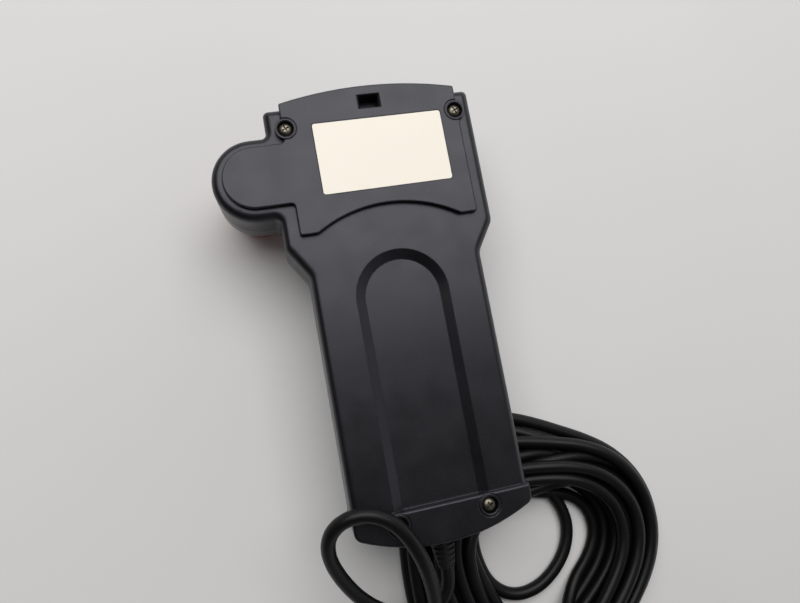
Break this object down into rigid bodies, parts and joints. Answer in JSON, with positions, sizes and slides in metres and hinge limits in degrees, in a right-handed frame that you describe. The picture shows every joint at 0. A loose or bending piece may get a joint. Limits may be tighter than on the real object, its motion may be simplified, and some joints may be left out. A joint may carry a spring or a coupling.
{
  "type": "teach pendant",
  "caption": "Handheld teach pendant lying face down on its cable: moulded housing with a side lobe for the stop button, keypad, display, ribbed strain relief, coiled cable and round plug.",
  "frame": {"origin": "on the table below the middle of the pendant's own box, cable and plug left out", "axes": "+Z out of the rear cover, +Y to the head, +X to the right as the rear is seen; the stop button's lobe is at -X"},
  "size_m": [0.2181, 0.2828, 0.0579],
  "materials": {
    "housing": "fine moulded grain, matt charcoal",
    "screws": "dark zinc",
    "plate": "bare off-white film on a thin plate, satin",
    "seal": "matt",
    "window": "clear, faintly smoked",
    "display": "unlit grey-green",
    "steel": "plain",
    "ribbon": "amber film",
    "mat": "translucent grey silicone",
    "board": "green solder resist",
    "chips": "moulded",
    "connector": "moulded",
    "stop_red": "satin red",
    "nylon": "black nylon",
    "collar": "yellow",
    "terminals": "plated",
    "rubber": "matt black",
    "cable": "matt black jacket",
    "plug": "matt black",
    "nickel": "satin nickel",
    "keys": "satin grey, unmarked"
  },
  "bodies": {
    "housing": {"rear_cover": "housing", "front_cover": "housing", "cover_screws": "screws", "rating_plate": "plate", "housing_seal": "seal", "display_window": "window", "display_glass": "display", "display_module": "steel", "display_ribbon": "ribbon", "keypad_mat": "mat", "main_board": "board", "board_screws": "screws", "board_chips": "chips", "buzzer": "chips", "cable_header": "connector", "stop_barrel": "collar", "stop_seal": "seal", "stop_nut": "nylon", "stop_spring": "steel", "contact_block": "connector", "contact_terminals": "terminals", "strain_relief": "rubber", "cable_core": "cable", "cable_clamp": "steel", "clamp_screws": "screws", "cable_lead": "cable", "cable_coil": "cable", "cable_end": "cable", "plug_relief": "rubber", "plug_body": "plug", "plug_shell": "nickel", "plug_insert": "nylon", "plug_pins": "terminals"},
    "stop_plunger": {"stop_stem": "nylon"},
    "stop_button": {"stop_head": "stop_red"},
    "key_1_1_cap": {"key_1_1": "keys"},
    "key_1_2_cap": {"key_1_2": "keys"},
    "key_1_3_cap": {"key_1_3": "keys"},
    "key_1_4_cap": {"key_1_4": "keys"},
    "key_2_1_cap": {"key_2_1": "keys"},
    "key_2_2_cap": {"key_2_2": "keys"},
    "key_2_3_cap": {"key_2_3": "keys"},
    "key_2_4_cap": {"key_2_4": "keys"},
    "key_3_1_cap": {"key_3_1": "keys"},
    "key_3_2_cap": {"key_3_2": "keys"},
    "key_3_3_cap": {"key_3_3": "keys"},
    "key_3_4_cap": {"key_3_4": "keys"},
    "key_4_1_cap": {"key_4_1": "keys"},
    "key_4_2_cap": {"key_4_2": "keys"},
    "key_4_3_cap": {"key_4_3": "keys"},
    "key_4_4_cap": {"key_4_4": "keys"},
    "key_5_1_cap": {"key_5_1": "keys"},
    "key_5_2_cap": {"key_5_2": "keys"},
    "key_5_3_cap": {"key_5_3": "keys"},
    "key_5_4_cap": {"key_5_4": "keys"}
  },
  "joints": [
    {"name": "stop_press", "type": "slide", "parent": "housing", "child": "stop_plunger", "axis": [0, 0, 1], "range_m": [0, 0.0035], "stiffness_N_per_m": 2000, "springref_m": -0.006, "deforming": ["stop_spring"]},
    {"name": "stop_twist", "type": "hinge", "parent": "stop_plunger", "child": "stop_button", "pos_m": [-0.0374, 0.05735, 0], "axis": [0, 0, 1], "range_deg": [0, 45], "stiffness_Nm_per_rad": 0.05},
    {"name": "key_1_1_press", "type": "slide", "parent": "housing", "child": "key_1_1_cap", "axis": [0, 0, 1], "range_m": [0, 0.0007], "stiffness_N_per_m": 2000, "springref_m": -0.0005},
    {"name": "key_1_2_press", "type": "slide", "parent": "housing", "child": "key_1_2_cap", "axis": [0, 0, 1], "range_m": [0, 0.0007], "stiffness_N_per_m": 2000, "springref_m": -0.0005},
    {"name": "key_1_3_press", "type": "slide", "parent": "housing", "child": "key_1_3_cap", "axis": [0, 0, 1], "range_m": [0, 0.0007], "stiffness_N_per_m": 2000, "springref_m": -0.0005},
    {"name": "key_1_4_press", "type": "slide", "parent": "housing", "child": "key_1_4_cap", "axis": [0, 0, 1], "range_m": [0, 0.0007], "stiffness_N_per_m": 2000, "springref_m": -0.0005},
    {"name": "key_2_1_press", "type": "slide", "parent": "housing", "child": "key_2_1_cap", "axis": [0, 0, 1], "range_m": [0, 0.0007], "stiffness_N_per_m": 2000, "springref_m": -0.0005},
    {"name": "key_2_2_press", "type": "slide", "parent": "housing", "child": "key_2_2_cap", "axis": [0, 0, 1], "range_m": [0, 0.0007], "stiffness_N_per_m": 2000, "springref_m": -0.0005},
    {"name": "key_2_3_press", "type": "slide", "parent": "housing", "child": "key_2_3_cap", "axis": [0, 0, 1], "range_m": [0, 0.0007], "stiffness_N_per_m": 2000, "springref_m": -0.0005},
    {"name": "key_2_4_press", "type": "slide", "parent": "housing", "child": "key_2_4_cap", "axis": [0, 0, 1], "range_m": [0, 0.0007], "stiffness_N_per_m": 2000, "springref_m": -0.0005},
    {"name": "key_3_1_press", "type": "slide", "parent": "housing", "child": "key_3_1_cap", "axis": [0, 0, 1], "range_m": [0, 0.0007], "stiffness_N_per_m": 2000, "springref_m": -0.0005},
    {"name": "key_3_2_press", "type": "slide", "parent": "housing", "child": "key_3_2_cap", "axis": [0, 0, 1], "range_m": [0, 0.0007], "stiffness_N_per_m": 2000, "springref_m": -0.0005},
    {"name": "key_3_3_press", "type": "slide", "parent": "housing", "child": "key_3_3_cap", "axis": [0, 0, 1], "range_m": [0, 0.0007], "stiffness_N_per_m": 2000, "springref_m": -0.0005},
    {"name": "key_3_4_press", "type": "slide", "parent": "housing", "child": "key_3_4_cap", "axis": [0, 0, 1], "range_m": [0, 0.0007], "stiffness_N_per_m": 2000, "springref_m": -0.0005},
    {"name": "key_4_1_press", "type": "slide", "parent": "housing", "child": "key_4_1_cap", "axis": [0, 0, 1], "range_m": [0, 0.0007], "stiffness_N_per_m": 2000, "springref_m": -0.0005},
    {"name": "key_4_2_press", "type": "slide", "parent": "housing", "child": "key_4_2_cap", "axis": [0, 0, 1], "range_m": [0, 0.0007], "stiffness_N_per_m": 2000, "springref_m": -0.0005},
    {"name": "key_4_3_press", "type": "slide", "parent": "housing", "child": "key_4_3_cap", "axis": [0, 0, 1], "range_m": [0, 0.0007], "stiffness_N_per_m": 2000, "springref_m": -0.0005},
    {"name": "key_4_4_press", "type": "slide", "parent": "housing", "child": "key_4_4_cap", "axis": [0, 0, 1], "range_m": [0, 0.0007], "stiffness_N_per_m": 2000, "springref_m": -0.0005},
    {"name": "key_5_1_press", "type": "slide", "parent": "housing", "child": "key_5_1_cap", "axis": [0, 0, 1], "range_m": [0, 0.0007], "stiffness_N_per_m": 2000, "springref_m": -0.0005},
    {"name": "key_5_2_press", "type": "slide", "parent": "housing", "child": "key_5_2_cap", "axis": [0, 0, 1], "range_m": [0, 0.0007], "stiffness_N_per_m": 2000, "springref_m": -0.0005},
    {"name": "key_5_3_press", "type": "slide", "parent": "housing", "child": "key_5_3_cap", "axis": [0, 0, 1], "range_m": [0, 0.0007], "stiffness_N_per_m": 2000, "springref_m": -0.0005},
    {"name": "key_5_4_press", "type": "slide", "parent": "housing", "child": "key_5_4_cap", "axis": [0, 0, 1], "range_m": [0, 0.0007], "stiffness_N_per_m": 2000, "springref_m": -0.0005}
  ]
}
